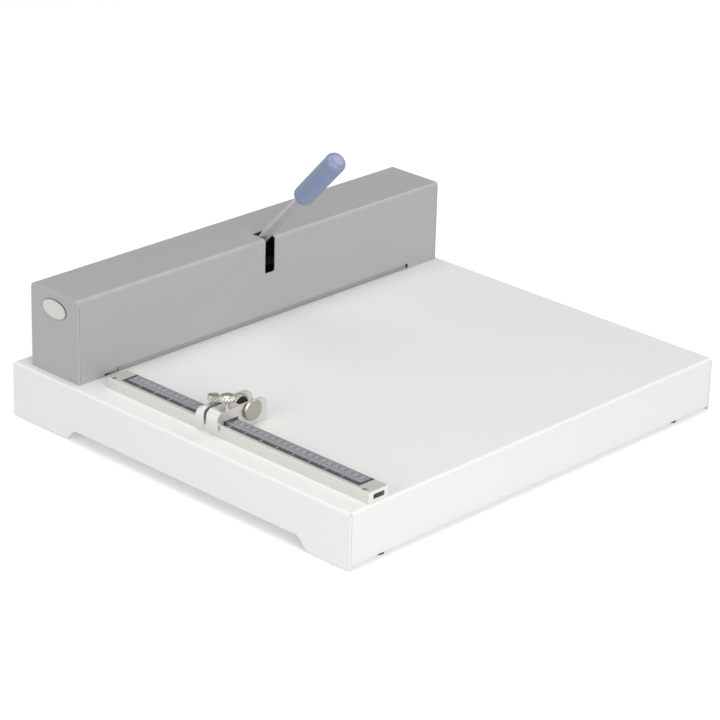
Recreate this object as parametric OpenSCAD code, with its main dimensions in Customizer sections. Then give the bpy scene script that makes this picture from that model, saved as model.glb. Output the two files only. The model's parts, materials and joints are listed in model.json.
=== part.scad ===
// Desktop paper creasing machine: sheet-metal table, housing with a cam press inside,
// hand lever, and a side guide with a clamped, finely adjustable paper stop.
// Origin at the middle of the footprint on the desk, +X to the user's right,
// -Y towards the user, +Z up. Millimetres.

/* [Table] */
// Height of the table surface above the desk
table_z = 71; // [68:1:90]
// Thickness of the table's sheet steel
sheet_t = 2.5; // [2:0.25:3]
// Outside radius of the table's bends
bend_r = 3.5; // [3.25:0.25:5]
// Height of the side panels' feet above the desk
side_lift = 2; // [1:0.5:4]
// Height of the front and back panels' lower edges above the desk
front_lift = 7; // [5:0.5:9]
// Depth of the inward flanges along the front and back panels
flange_w = 24; // [20:1:30]
// Rise of the cut-out between the feet of a side panel
notch_h = 14.3; // [8:0.1:20]
// Length of a side panel's front foot
front_foot_len = 63; // [40:1:90]
// Length of a side panel's rear foot
rear_foot_len = 95; // [60:1:120]
// Length of the curve from a foot up to the cut-out
foot_run = 19; // [12:1:30]
// Gap at the seam between a front or back panel and a side panel
seam_gap = 0.5; // [0.3:0.1:1]

/* [Rubber feet] */
// Radius of a rubber foot at the desk
foot_r = 7; // [6:0.5:9]
// Distance from the table's side to a foot's axis
foot_inset_x = 59; // [30:1:90]
// Distance from the front or back face to a foot's axis
foot_inset_y = 13; // [12:0.5:15]

/* [Stiffeners] */
// Width of a stiffening channel
rail_w = 40; // [30:1:60]
// Height of a stiffening channel
rail_h = 22; // [15:1:30]
// Thickness of a stiffening channel
rail_t = 2; // [1.5:0.25:3]
// Width of the channel under the crease line
bed_channel_w = 50; // [46:1:54]
// Thickness of the channel under the crease line
bed_channel_t = 3; // [2.5:0.25:3.5]

/* [Creasing bar] */
// Width of the grooved bar
bed_w = 26; // [20:1:32]
// Height of the grooved bar
bed_h = 30; // [24:1:32]
// How far the grooved bar runs past each end of the paper slot
bed_over = 3; // [1:0.5:4]
// Width of the creasing groove
groove_w = 1.7; // [1.6:0.1:2.4]
// Depth of the creasing groove
groove_d = 1.5; // [1.2:0.1:2]

/* [Housing] */
// Width of the housing
cover_w = 620; // [615:1:625]
// Depth of the housing
cover_d = 86; // [84:1:90]
// Height of the housing above the table
cover_h = 107.5; // [106:0.5:115]
// Distance from the table's left side to the housing
cover_left = 10; // [4:1:14]
// Distance from the housing to the table's right side
cover_right = 6; // [4:1:14]
// Distance from the side guide's rear end to the housing
cover_gap = 27.5; // [20:0.5:40]
// Distance from the housing to the table's back
cover_rear = 23.5; // [16:0.5:40]
// Thickness of the housing's sheet
cover_t = 1.5; // [1:0.25:2]
// Outside radius of the bend along the front top edge
cover_front_r = 10; // [6:0.5:12]
// Outside radius of the bend along the back top edge
cover_back_r = 6; // [2.5:0.5:10]
// Distance from the housing's left end to the paper slot
slot_left = 59.5; // [58:0.5:62]
// Distance from the paper slot to the housing's right end
slot_right = 53; // [52:0.5:58]
// Height of the paper slot above the table
slot_h = 7.1; // [6.6:0.1:9]
// Length of the low notch beside the paper slot's left end
low_notch_w = 20; // [10:1:24]
// Height of the low notch
low_notch_h = 3.5; // [2:0.5:5]
// Width of the lever slot
lever_slot_w = 17; // [15:0.5:20]
// How far the lever slot reaches back across the top
lever_slot_back = 25.5; // [23:0.5:30]
// How far the lever slot reaches down the front
lever_slot_drop = 46; // [44:0.5:52]
// Corner radius of the lever slot
lever_slot_r = 3; // [1:0.5:5]
// Clear height under the paper guide strip
guide_lift = 5.2; // [5:0.1:6]
// Depth of the paper guide strip behind the housing's front
guide_d = 20; // [12:1:22]

/* [Badge] */
// Length of the bare oval badge plate
badge_l = 43; // [30:1:50]
// Height of the badge plate
badge_h = 27; // [20:1:32]
// Thickness of the badge plate
badge_t = 1.2; // [0.8:0.1:2]
// Height of the badge's middle above the table
badge_rise = 85.5; // [70:0.5:88]

/* [Press] */
// Radius of the lever's shaft
shaft_r = 10; // [9:0.5:11]
// Depth of the shaft's axis below the housing's top
shaft_drop = 36; // [36:0.5:38]
// Turn of the lever from rest to fully pressed, in degrees
lever_swing = 46; // [30:1:46]
// Travel of the press beam
stroke = 6; // [5.5:0.1:6.2]
// Height of the blade's edge above the table at rest
blade_rise = 5.4; // [5.2:0.1:5.6]
// Width of a cam
cam_w = 14; // [10:1:20]
// Distance from the housing's middle to a cam
cam_x = 150; // [100:1:200]
// Height of the beam's body
beam_h = 18; // [16:0.5:19]
// Depth of the beam's body, front to back
beam_d = 30; // [28:1:34]
// Height of the jaw that holds the blade
jaw_h = 14; // [12:0.5:15]
// Thickness of the creasing blade
blade_t = 1.2; // [1:0.05:1.3]
// Thickness of the clamp strip in front of the blade
blade_clamp_t = 9; // [7:0.5:10]
// Thickness of a cam pad
pad_t = 4; // [3.5:0.25:4.5]
// Radius of a guide post
post_r = 7; // [6:0.5:7.5]
// Distance from an end frame's inner face to a guide post's axis
post_in = 17; // [16:0.5:18]
// Wire radius of a return spring
spring_wire_r = 1; // [0.8:0.1:1.1]
// Turns of a return spring
spring_turns = 4; // [3:1:4]

/* [Lever] */
// Offset of the lever from the housing's middle
lever_offset = 3; // [0:0.5:10]
// Angle of the lever above horizontal at rest, in degrees
lever_angle = 47; // [46:1:50]
// Radius of the lever's rod
rod_r = 6; // [5:0.5:6.5]
// Distance from the shaft's axis to the grip
grip_start = 140; // [110:0.5:160]
// Length of the grip
grip_len = 89; // [80:1:110]
// Radius of the grip at its lower end
grip_r_low = 13; // [11:0.1:14]
// Radius of the grip at its far end
grip_r_top = 13.3; // [12:0.1:16]
// Rounding of the grip's lower rim
grip_round_low = 6; // [3:0.5:7]
// Rounding of the grip's far rim
grip_round_top = 7; // [3:0.5:8]

/* [Side guide] */
// Width of the side guide
ruler_w = 30; // [28:0.5:34]
// Height of the side guide
ruler_h = 14.5; // [13:0.5:16]
// Length of the side guide
ruler_len = 426; // [380:1:440]
// Distance from the table's left side to the side guide
ruler_left = 31; // [20:1:40]
// Distance from the table's front to the side guide
ruler_front = 3; // [2:0.5:10]
// Thickness of the side guide's left wall
ruler_wall = 7.4; // [7:0.1:9]
// Width of the hollow inside the side guide
ruler_hollow_w = 17.4; // [14:0.1:18]
// Height of the hollow
ruler_hollow_h = 6; // [4:0.5:8]
// Height of the hollow's floor above the table
ruler_floor = 4.2; // [3:0.1:5]
// Width of the scale strip
scale_w = 24.5; // [20:0.5:26]
// Thickness of the scale strip
scale_t = 0.6; // [0.4:0.1:1]
// Distance from the guide's front end to the scale
scale_front = 19.4; // [15:0.1:30]
// Distance from the guide's rear end to the scale
scale_rear = 17.8; // [15:0.1:30]
// Strip of the guide left bare to the right of the scale
scale_right = 0.5; // [0.5:0.1:2]

/* [Stop] */
// Distance from the table's front to the clamp block's front face
clamp_y = 239; // [30:1:340]
// Height of the stop's blocks above the side guide
block_h = 15.5; // [14:0.5:20]
// Overall width of the stop's blocks
block_w = 78; // [70:1:90]
// Radius of the blocks' upper corners
block_r = 9; // [6:0.5:10]
// Thickness of the cheek outside the guide's left face
cheek_t = 2.6; // [2:0.1:4]
// How far that cheek reaches down the guide's side
cheek_drop = 6; // [4:0.5:9]
// Thickness of the clamp block's front plate
clamp_plate_t = 3; // [2:0.5:5]
// Length of the clamp block along the guide
clamp_len = 18.5; // [14:0.5:22]
// Thickness of the stop block's plate, against which the sheet lies
stop_plate_t = 7; // [6:0.5:8]
// Length of the stop block along the guide
stop_len = 13.5; // [12:0.5:20]
// Step down from the stop block's plate to the part behind it
stop_step = 4; // [2:0.5:6]
// Space between the two blocks with the fine adjustment in its middle
block_gap = 4.5; // [4.5:0.1:8]
// Clear height over the scale under the blocks
relief_h = 3.4; // [2:0.1:5]
// Radius of the disc knob
knob_r = 12.5; // [10:0.5:13]
// Thickness of the disc knob
knob_t = 2.2; // [2:0.1:4]
// Distance from the blocks' right end to the spindle's axis
spindle_in = 24.5; // [20:0.5:26]
// Height of the spindle's axis above the table
spindle_z = 20.3; // [16:0.1:22]
// Travel of the fine adjustment each way
fine_travel = 4; // [2:0.5:4]
// Radius of the clamp screw's knurled head
clamp_head_r = 10.2; // [8:0.2:12]
// Radius of the stop screw's knurled head
stop_head_r = 6.8; // [5:0.2:8]
// Radius of the lock nut
lock_r = 13; // [10:0.5:14]

/* [Hidden] */
$fn = 64;

// One overrun for every cut, and the clearances of fixed, thread and running fits
over = 1;
screw_past = 1;
fixed_gap = 0.02;
thread_gap = 0.05;
run_gap = 0.05;
slide_gap = 0.15;

// The table is as wide as the housing with its margins, and as deep as the side
// guide and the housing one behind the other
base_w = cover_left + cover_w + cover_right;
cover_setback = ruler_front + ruler_len + cover_gap;
base_d = cover_setback + cover_d + cover_rear;

// Places of the table's sides
x0 = -base_w / 2;
x1 = base_w / 2;
y0 = -base_d / 2;
y1 = base_d / 2;
under_z = table_z - sheet_t;

// Places of the housing
cover_x0 = x0 + cover_left;
cover_x1 = cover_x0 + cover_w;
cover_xm = (cover_x0 + cover_x1) / 2;
cover_y0 = y0 + cover_setback;
cover_y1 = cover_y0 + cover_d;
cover_z1 = table_z + cover_h;
slot_x0 = cover_x0 + slot_left;
slot_x1 = cover_x1 - slot_right;
guide_t = 2;
guide_end_gap = 3;
guide_up = 14;
badge_faces = 48;

// Crease line and shaft
crease_y = (cover_y0 + cover_y1) / 2;
shaft_z = cover_z1 - shaft_drop;
lever_x = cover_xm + lever_offset;

// Grooved bar and the channel under it
bed_x0 = slot_x0 - bed_over;
bed_x1 = slot_x1 + bed_over;
bed_z0 = table_z - bed_h;
bed_fit = 0.1;
bed_screw_count = 5;
bed_screw_r = 3;
bed_screw_in = 14;
bed_screw_edge = 30;
rail_place_shares = [0.22, 0.6];

// Screws and nuts, with heads and nuts as shares of the thread's radius
head_r_share = 1.65;
head_h_share = 1.7;
socket_r_share = 0.9;
socket_d_share = 0.9;
nut_r_share = 1.9;
nut_h_share = 1.6;
hole_gap = 0.3;

// Rubber feet
foot_top_share = 0.9;
foot_top_r = foot_r * foot_top_share;
foot_screw_r = 2;
foot_recess_r = foot_screw_r * 2;
foot_recess_d = front_lift / 2;
foot_head_r_share = 0.85;
foot_head_h_share = 0.7;

// End frames
frame_t = 8;
frame_inset = 8;
frame_half_d = 40;
frame_back_gap = 0.2;
frame_boss_r = 22;
frame_front_h = 32;
frame_rear_h = 64;
foot_flange_w = 34;
foot_flange_t = 5;
bolt_r = 3;
bolt_y = 33;
frame_out = cover_w / 2 - frame_inset;
frame_in = frame_out - frame_t;
post_x = frame_in - post_in;
bush_r = 13;
bush_flange_r = 16;
bush_flange_t = 2;
cover_screw_r = 2;
cover_screw_in = 9;
cover_screw_rises = [20, 54];
cover_screw_head_r = 3.8;
cover_screw_head_h = 2.4;

// Shaft, collars, hub and cams
collar_r = 16;
collar_t = 4;
collar_gap = 0.3;
shaft_end_gap = 0.5;
shaft_half = frame_out + collar_gap + collar_t - shaft_end_gap;
pin_r = 2.5;
hub_r = 20;
hub_w = 26;
neck_r = 10;
neck_len = 33;
rod_seat = 14;
rod_in_grip = 75;
cam_hub_r = 17;
cam_hub_w = 12;
cam_gap = 0.08;
cam_lead = 8;
cam_crest = 24;
cam_steps = 90;

// Beam, from the blade's edge upwards
blade_show = 3.6;
edge_z = table_z + blade_rise;
jaw_z = edge_z + blade_show;
beam_z = jaw_z + jaw_h;
beam_top = beam_z + beam_h;
pad_top = beam_top + pad_t;
cam_base = shaft_z - pad_top - cam_gap;
beam_end = 14;
beam_half = post_x + beam_end;
blade_end_gap = 2.5;
blade_x0 = slot_x0 + blade_end_gap;
blade_x1 = slot_x1 - blade_end_gap;
blade_h = beam_z - edge_z - run_gap;
boss_r = 13;
boss_h = 10;
guide_bush_r = 10;
pad_l = 34;
pad_d = 24;
pad_screw_r = 2;
pad_screw_x = 11;
pad_screw_in = 9;
blade_screw_count = 6;
blade_screw_r = 2.5;
blade_screw_edge = 36;
blade_screw_in = 10;
blade_screw_up = 7.5;

// Guide posts and springs
post_screw_r = 4;
post_screw_in = 14;
post_neck_r = 5;
post_nut_h = 5.5;
post_nut_r = 9;
post_nut_gap = 0.3;
post_neck_z = beam_top + boss_h + post_nut_gap;
post_top = post_neck_z + post_nut_h + screw_past;
spring_r = 9.3;
spring_z0 = table_z + foot_flange_t;
spring_h = beam_z - spring_z0;
spring_rings = 12;
spring_sides = 6;

// Side guide
ruler_x0 = x0 + ruler_left;
ruler_x1 = ruler_x0 + ruler_w;
ruler_xm = (ruler_x0 + ruler_x1) / 2;
ruler_y0 = y0 + ruler_front;
ruler_y1 = ruler_y0 + ruler_len;
ruler_top = table_z + ruler_h;
ruler_edge_r = 0.5;
ruler_hollow_r = 1.5;
ruler_screw_x = ruler_x0 + ruler_wall / 2;
ruler_screw_r = 2;
ruler_screw_head_r = 3.4;
ruler_screw_head_h = 2;
ruler_screw_ends = [9.5, 7.5];
slot_blade_w = 0.8;
slot_blade_d = 0.8;

// Stop
block_x0 = ruler_x0 - slide_gap - cheek_t;
block_x1 = block_x0 + block_w;
block_foot_gap = 0.4;
block_z0 = table_z + block_foot_gap;
block_z1 = ruler_top + block_h;
block_ride = 0.3;
relief_in = 2;
saddle_wall = 6;
block_edge_r = 1;
saddle_x1 = ruler_x1 + slide_gap + saddle_wall;
lock_side_gap = 2;
clamp_y0 = y0 + clamp_y;
clamp_y1 = clamp_y0 + clamp_plate_t;
saddle_y1 = clamp_y0 + clamp_len;
stop_y0 = saddle_y1 + block_gap;
stop_y1 = stop_y0 + stop_len;
spindle_x = block_x1 - spindle_in;
clamp_deep_x1 = spindle_x - lock_r - lock_side_gap;
spindle_up = table_z + spindle_z;
journal_r = 4;
thread_r = 3;
knob_hub_r = 6;
knob_hub_l = 3.6;
knob_gap = 0.2;
collar_ring_r = 6;
collar_ring_t = 2;
spindle_past = 2.2;
knob_edge_r = 0.4;
lock_t = 6.5;
lock_gap = 0.3;
thumb_x = (block_x0 + saddle_x1) / 2;
clamp_thumb_r = 3;
stop_thumb_r = 2;
thumb_tip_gap = 0.5;
clamp_head_h = 7;
clamp_head_up = 9.5;
clamp_dome_share = 0.19;
stop_dome_share = 0.125;
stop_head_h = 7;
stop_head_up = 3;
clamp_knurls = 14;
stop_knurls = 30;
lock_knurls = 36;
knurl_pitch_share = 0.21;
knurl_out_share = 1 / 3;
clamp_screw_in = 4.3;
stop_screw_in = 4.3;
clamp_screw_y = clamp_y0 + clamp_screw_in;
stop_screw_y = stop_y0 + stop_screw_in;
relief_x0 = ruler_x1 - scale_right - scale_w + relief_in;

white = [0.88, 0.88, 0.87];
housing_grey = [0.66, 0.66, 0.67];
alu = [0.78, 0.78, 0.77];
steel = [0.6, 0.6, 0.6];
dark_steel = [0.35, 0.35, 0.36];
brass = [0.72, 0.6, 0.35];
slate = [0.27, 0.29, 0.34];
grip_blue = [0.56, 0.61, 0.78];
black = [0.1, 0.1, 0.1];

// General shapes

// A box between two corners
module block(xa, xb, ya, yb, za, zb) {
    translate([xa, ya, za]) cube([xb - xa, yb - ya, zb - za]);
}

module rect(xa, xb, ya, yb) {
    translate([xa, ya]) square([xb - xa, yb - ya]);
}

// A flat outline given in Y and Z, run along X
module along_x(xa, len) {
    translate([xa, 0, 0]) rotate([90, 0, 90]) linear_extrude(len) children();
}

// A flat outline given in X and Z, run along Y
module along_y(ya, len) {
    translate([0, ya + len, 0]) rotate([90, 0, 0]) linear_extrude(len) children();
}

// Round bars along the three axes
module bar_x(r, xa, xb, y, z) {
    translate([xa, y, z]) rotate([0, 90, 0]) cylinder(r = r, h = xb - xa);
}

module bar_y(r, ya, yb, x, z) {
    translate([x, yb, z]) rotate([90, 0, 0]) cylinder(r = r, h = yb - ya);
}

module bar_z(r, za, zb, x, y) {
    translate([x, y, za]) cylinder(r = r, h = zb - za);
}

// A rectangle whose two upper corners are round
module round_top(xa, xb, ya, yb, ra, rb) {
    rect(xa, xb, ya, yb - max(ra, rb));
    rect(xa + ra, xb - rb, ya, yb);
    rect(xa, xa + 2 * ra, ya, yb - ra);
    rect(xb - 2 * rb, xb, ya, yb - rb);
    translate([xa + ra, yb - ra]) circle(ra);
    translate([xb - rb, yb - rb]) circle(rb);
}

// A rectangle with four round corners
module round_rect(xa, xb, ya, yb, r) {
    rect(xa + r, xb - r, ya, yb);
    rect(xa, xb, ya + r, yb - r);
    for (x = [xa + r, xb - r]) for (y = [ya + r, yb - r]) translate([x, y]) circle(r);
}

// A socket-head screw, its head on z = 0 and its shank downwards
module cap_screw(r, len) {
    difference() {
        union() {
            translate([0, 0, -len]) cylinder(r = r, h = len);
            cylinder(r = r * head_r_share, h = r * head_h_share);
        }
        translate([0, 0, r * (head_h_share - socket_d_share)])
            cylinder(r = r * socket_r_share, h = r * socket_d_share + over, $fn = 6);
    }
}

// A slotted screw with a flat or countersunk head whose top is at z = 0
module slotted_screw(r, len, head_r, head_h, cone) {
    difference() {
        union() {
            translate([0, 0, -len]) cylinder(r = r, h = len);
            translate([0, 0, -head_h]) cylinder(r1 = cone ? r : head_r, r2 = head_r, h = head_h);
        }
        translate([-head_r - over, -slot_blade_w / 2, -slot_blade_d])
            cube([2 * (head_r + over), slot_blade_w, slot_blade_d + over]);
    }
}

// A hexagon nut standing on z = 0
module hex_nut(r, nut_r, h) {
    difference() {
        cylinder(r = nut_r, h = h, $fn = 6);
        translate([0, 0, -over]) cylinder(r = r + thread_gap, h = h + 2 * over);
    }
}

// A disc on z = 0 with n flutes round its edge
module knurled_disc(r, h, n) {
    flute_r = 2 * PI * r / n * knurl_pitch_share;
    difference() {
        cylinder(r = r, h = h);
        for (i = [0:n - 1]) rotate([0, 0, i * 360 / n])
            translate([r + flute_r * knurl_out_share, 0, -over])
                cylinder(r = flute_r, h = h + 2 * over, $fn = 12);
    }
}

// Carries a piece drawn for the right end of the housing to either end
module at_end(side) {
    translate([cover_xm, 0, 0]) if (side < 0) mirror([1, 0, 0]) children(); else children();
}

// Table

// Points of a smooth step from one height to another
function step_curve(ya, za, yb, zb, n = 10) =
    [for (i = [0:n]) [ya + (yb - ya) * i / n, za + (zb - za) * (1 - cos(180 * i / n)) / 2]];

module side_outline() {
    polygon(concat(
        [[y0, side_lift]],
        step_curve(y0 + front_foot_len, side_lift, y0 + front_foot_len + foot_run, side_lift + notch_h),
        step_curve(y1 - rear_foot_len - foot_run, side_lift + notch_h, y1 - rear_foot_len, side_lift),
        [[y1, side_lift], [y1, table_z - bend_r], [y0, table_z - bend_r]]));
}

// The top sheet with a bend along two opposite edges
module bent_top(lo, hi) {
    difference() {
        round_top(lo, hi, table_z - bend_r, table_z, bend_r, bend_r);
        round_top(lo + sheet_t, hi - sheet_t, table_z - 2 * bend_r, under_z, bend_r - sheet_t, bend_r - sheet_t);
    }
}

module table_holes() {
    translate([0, 0, under_z - over]) {
        translate([bed_x0 - bed_fit, crease_y - bed_w / 2 - bed_fit, 0])
            cube([bed_x1 - bed_x0 + 2 * bed_fit, bed_w + 2 * bed_fit, sheet_t + 2 * over]);
        for (side = [-1, 1]) {
            translate([cover_xm + side * post_x, crease_y, 0])
                cylinder(r = post_screw_r + hole_gap, h = sheet_t + 2 * over);
            for (t = [-1, 1]) translate([cover_xm + side * post_x, crease_y + t * bolt_y, 0])
                cylinder(r = bolt_r + hole_gap, h = sheet_t + 2 * over);
        }
        for (y = ruler_screw_ys) translate([ruler_screw_x, y, 0])
            cylinder(r = ruler_screw_r + hole_gap, h = sheet_t + 2 * over);
    }
}

foot_places = [for (sx = [-1, 1]) for (sy = [-1, 1])
    [sx * (x1 - foot_inset_x), sy * (y1 - foot_inset_y)]];

module table_shell() color(white) {
    panel_x0 = x0 + sheet_t + seam_gap;
    panel_x1 = x1 - sheet_t - seam_gap;
    difference() {
        union() {
            along_x(x0 + bend_r, base_w - 2 * bend_r) bent_top(y0, y1);
            along_y(y0 + bend_r, base_d - 2 * bend_r) bent_top(x0, x1);
            for (x = [x0, x1 - sheet_t]) along_x(x, sheet_t) side_outline();
            block(panel_x0, panel_x1, y0, y0 + sheet_t, front_lift, table_z - bend_r);
            block(panel_x0, panel_x1, y1 - sheet_t, y1, front_lift, table_z - bend_r);
            block(panel_x0, panel_x1, y0, y0 + flange_w, front_lift, front_lift + sheet_t);
            block(panel_x0, panel_x1, y1 - flange_w, y1, front_lift, front_lift + sheet_t);
        }
        table_holes();
        for (p = foot_places)
            bar_z(foot_screw_r + hole_gap, front_lift - over, front_lift + sheet_t + over, p[0], p[1]);
    }
}

module table_rails() color(white) {
    for (s = rail_place_shares) along_x(x0 + bend_r, base_w - 2 * bend_r) difference() {
        ym = y0 + base_d * s;
        rect(ym - rail_w / 2, ym + rail_w / 2, under_z - rail_h, under_z);
        rect(ym - rail_w / 2 + rail_t, ym + rail_w / 2 - rail_t, under_z - rail_h - over, under_z - rail_t);
    }
}

bed_screw_xs = [for (i = [0:bed_screw_count - 1])
    bed_x0 + bed_screw_edge + (bed_x1 - bed_x0 - 2 * bed_screw_edge) * i / (bed_screw_count - 1)];

module bed_channel() color(steel) {
    ya = crease_y - bed_channel_w / 2;
    yb = crease_y + bed_channel_w / 2;
    za = bed_z0 - bed_channel_t;
    difference() {
        along_x(cover_xm - frame_out, 2 * frame_out) difference() {
            rect(ya, yb, za, under_z);
            rect(ya + bed_channel_t, yb - bed_channel_t, bed_z0, under_z + over);
        }
        for (x = bed_screw_xs) bar_z(bed_screw_r + hole_gap, za - over, bed_z0 + over, x, crease_y);
    }
}

module bed_bar() color(steel) {
    ya = crease_y - bed_w / 2;
    difference() {
        block(bed_x0, bed_x1, ya, ya + bed_w, bed_z0, table_z);
        block(bed_x0 - over, bed_x1 + over, crease_y - groove_w / 2, crease_y + groove_w / 2,
              table_z - groove_d, table_z + over);
        for (x = bed_screw_xs)
            bar_z(bed_screw_r + thread_gap, bed_z0 - over, bed_z0 + bed_screw_in + over, x, crease_y);
    }
}

module bed_screws() color(dark_steel) {
    for (x = bed_screw_xs) translate([x, crease_y, bed_z0 - bed_channel_t]) rotate([180, 0, 0])
        cap_screw(bed_screw_r, bed_channel_t + bed_screw_in);
}

module rubber_feet() color(black) {
    for (p = foot_places) translate([p[0], p[1], 0]) difference() {
        cylinder(r1 = foot_r, r2 = foot_top_r, h = front_lift);
        translate([0, 0, -over]) cylinder(r = foot_recess_r, h = foot_recess_d + over);
        cylinder(r = foot_screw_r + thread_gap, h = front_lift + over);
    }
}

module foot_screws() color(steel) {
    len = front_lift - foot_recess_d + sheet_t + foot_screw_r * nut_h_share + screw_past;
    head_h = foot_screw_r * foot_head_h_share;
    for (p = foot_places) translate([p[0], p[1], foot_recess_d - head_h]) rotate([180, 0, 0])
        slotted_screw(foot_screw_r, len + head_h, foot_recess_r * foot_head_r_share, head_h, false);
}

module foot_nuts() color(steel) {
    for (p = foot_places) translate([p[0], p[1], front_lift + sheet_t])
        hex_nut(foot_screw_r, foot_screw_r * nut_r_share, foot_screw_r * nut_h_share);
}

// Side guide

ruler_screw_ys = [ruler_y0 + ruler_screw_ends[0], ruler_y1 - ruler_screw_ends[1]];

module ruler_bar() color(alu) {
    hollow_x0 = ruler_x0 + ruler_wall;
    hollow_z0 = table_z + ruler_floor;
    scale_x1 = ruler_x1 - scale_right;
    difference() {
        along_y(ruler_y0, ruler_len) difference() {
            round_top(ruler_x0, ruler_x1, table_z, ruler_top, ruler_edge_r, ruler_edge_r);
            round_rect(hollow_x0, hollow_x0 + ruler_hollow_w, hollow_z0, hollow_z0 + ruler_hollow_h,
                       ruler_hollow_r);
        }
        block(scale_x1 - scale_w, scale_x1, ruler_y0 + scale_front, ruler_y1 - scale_rear,
              ruler_top - scale_t, ruler_top + over);
        for (y = ruler_screw_ys) {
            bar_z(ruler_screw_r + thread_gap, table_z - over, ruler_top + over, ruler_screw_x, y);
            translate([ruler_screw_x, y, ruler_top - ruler_screw_head_h])
                cylinder(r1 = ruler_screw_r + thread_gap, r2 = ruler_screw_head_r + thread_gap,
                         h = ruler_screw_head_h);
        }
    }
}

module ruler_scale() color(slate) {
    scale_x1 = ruler_x1 - scale_right;
    block(scale_x1 - scale_w, scale_x1, ruler_y0 + scale_front, ruler_y1 - scale_rear,
          ruler_top - scale_t, ruler_top);
}

module ruler_screws() color(steel) {
    for (y = ruler_screw_ys) translate([ruler_screw_x, y, ruler_top])
        slotted_screw(ruler_screw_r, ruler_h + sheet_t + ruler_screw_r * nut_h_share + screw_past,
                      ruler_screw_head_r, ruler_screw_head_h, true);
}

module ruler_nuts() color(steel) {
    h = ruler_screw_r * nut_h_share;
    for (y = ruler_screw_ys) translate([ruler_screw_x, y, under_z - h])
        hex_nut(ruler_screw_r, ruler_screw_r * nut_r_share, h);
}

// Housing

// The housing's outline from front to back, moved inwards by a wall
module cover_profile(inset) {
    round_top(cover_y0 + inset, cover_y1 - inset, table_z - (inset > 0 ? over : 0), cover_z1 - inset,
              cover_front_r - inset, cover_back_r - inset);
}

module lever_slot() {
    xa = lever_x - lever_slot_w / 2;
    xb = lever_x + lever_slot_w / 2;
    along_y(cover_y0 - over, cover_front_r + over)
        round_rect(xa, xb, cover_z1 - lever_slot_drop, cover_z1 + cover_front_r, lever_slot_r);
    translate([0, 0, cover_z1 - cover_front_r]) linear_extrude(cover_front_r + over)
        round_rect(xa, xb, cover_y0 - cover_front_r, cover_y0 + lever_slot_back, lever_slot_r / 3);
}

module paper_slot(ya, yb) {
    block(slot_x0, slot_x1, ya, yb, table_z - over, table_z + slot_h);
}

module housing_cover() color(housing_grey) {
    back = cover_y1 - cover_t;
    difference() {
        along_x(cover_x0, cover_w) cover_profile(0);
        along_x(cover_x0 + cover_t, cover_w - 2 * cover_t) cover_profile(cover_t);
        paper_slot(cover_y0 - over, cover_y0 + cover_t + over);
        paper_slot(back - over, cover_y1 + over);
        block(slot_x0 - low_notch_w, slot_x0 + over, cover_y0 - over, cover_y0 + cover_t + over,
              table_z - over, table_z + low_notch_h);
        lever_slot();
        for (side = [-1, 1]) for (rise = cover_screw_rises)
            bar_y(cover_screw_r + hole_gap, back - over, cover_y1 + over,
                  cover_xm + side * (frame_in + frame_t / 2), table_z + rise);
    }
}

// Strip with a turned-up front that leads the sheet in, fixed behind the housing's front
module paper_guide() color(alu) {
    xa = slot_x0 + guide_end_gap;
    xb = slot_x1 - guide_end_gap;
    ya = cover_y0 + cover_t;
    za = table_z + guide_lift;
    block(xa, xb, ya, ya + guide_t, za, za + guide_up);
    block(xa, xb, ya, ya + guide_d, za, za + guide_t);
}

module badge_plate() color(alu) {
    along_x(cover_x0 - badge_t, badge_t) polygon([for (i = [0:badge_faces - 1])
        let (a = 360 * i / badge_faces)
        [crease_y + badge_l / 2 * cos(a), table_z + badge_rise + badge_h / 2 * sin(a)]]);
}

module cover_screws() color(steel) {
    for (side = [-1, 1]) for (rise = cover_screw_rises)
        translate([cover_xm + side * (frame_in + frame_t / 2), cover_y1 + cover_screw_head_h, table_z + rise])
            rotate([-90, 0, 0]) slotted_screw(cover_screw_r,
                cover_screw_head_h + cover_t + cover_screw_in, cover_screw_head_r, cover_screw_head_h, false);
}

// End frames with the shaft's bushes

// Where the line from a point touches the round boss about the shaft
function boss_tangent(y, z, side) =
    let (dy = y - crease_y, dz = z - shaft_z,
         a = atan2(dz, dy) + side * acos(frame_boss_r / sqrt(dy * dy + dz * dz)))
    [crease_y + frame_boss_r * cos(a), shaft_z + frame_boss_r * sin(a)];

module frame_outline() {
    ya = crease_y - frame_half_d;
    yb = cover_y1 - cover_t - frame_back_gap;
    za = table_z + frame_front_h;
    zb = table_z + frame_rear_h;
    polygon([[ya, table_z], [yb, table_z], [yb, zb], boss_tangent(yb, zb, 1), [crease_y, shaft_z],
             boss_tangent(ya, za, -1), [ya, za]]);
    translate([crease_y, shaft_z]) circle(frame_boss_r);
}

module end_frame(side) color(steel) {
    at_end(side) difference() {
        union() {
            along_x(frame_in, frame_t) frame_outline();
            block(frame_in - foot_flange_w, frame_in, crease_y - frame_half_d, crease_y + frame_half_d,
                  table_z, table_z + foot_flange_t);
        }
        bar_x(bush_r, frame_in - over, frame_out + over, crease_y, shaft_z);
        bar_z(post_r + run_gap, table_z - over, table_z + foot_flange_t + over, post_x, crease_y);
        for (t = [-1, 1]) bar_z(bolt_r + hole_gap, table_z - over, table_z + foot_flange_t + over,
                                post_x, crease_y + t * bolt_y);
        for (rise = cover_screw_rises) translate([frame_in + frame_t / 2,
            cover_y1 - cover_t - cover_screw_in - over, table_z + rise]) rotate([-90, 0, 0])
            cylinder(r = cover_screw_r + thread_gap, h = cover_screw_in + 2 * over);
    }
}

module left_end_frame() end_frame(-1);

module right_end_frame() end_frame(1);

module frame_bolts() color(dark_steel) {
    for (side = [-1, 1]) for (t = [-1, 1])
        translate([cover_xm + side * post_x, crease_y + t * bolt_y, table_z + foot_flange_t])
            cap_screw(bolt_r, foot_flange_t + sheet_t + bolt_r * nut_h_share + screw_past);
}

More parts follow.
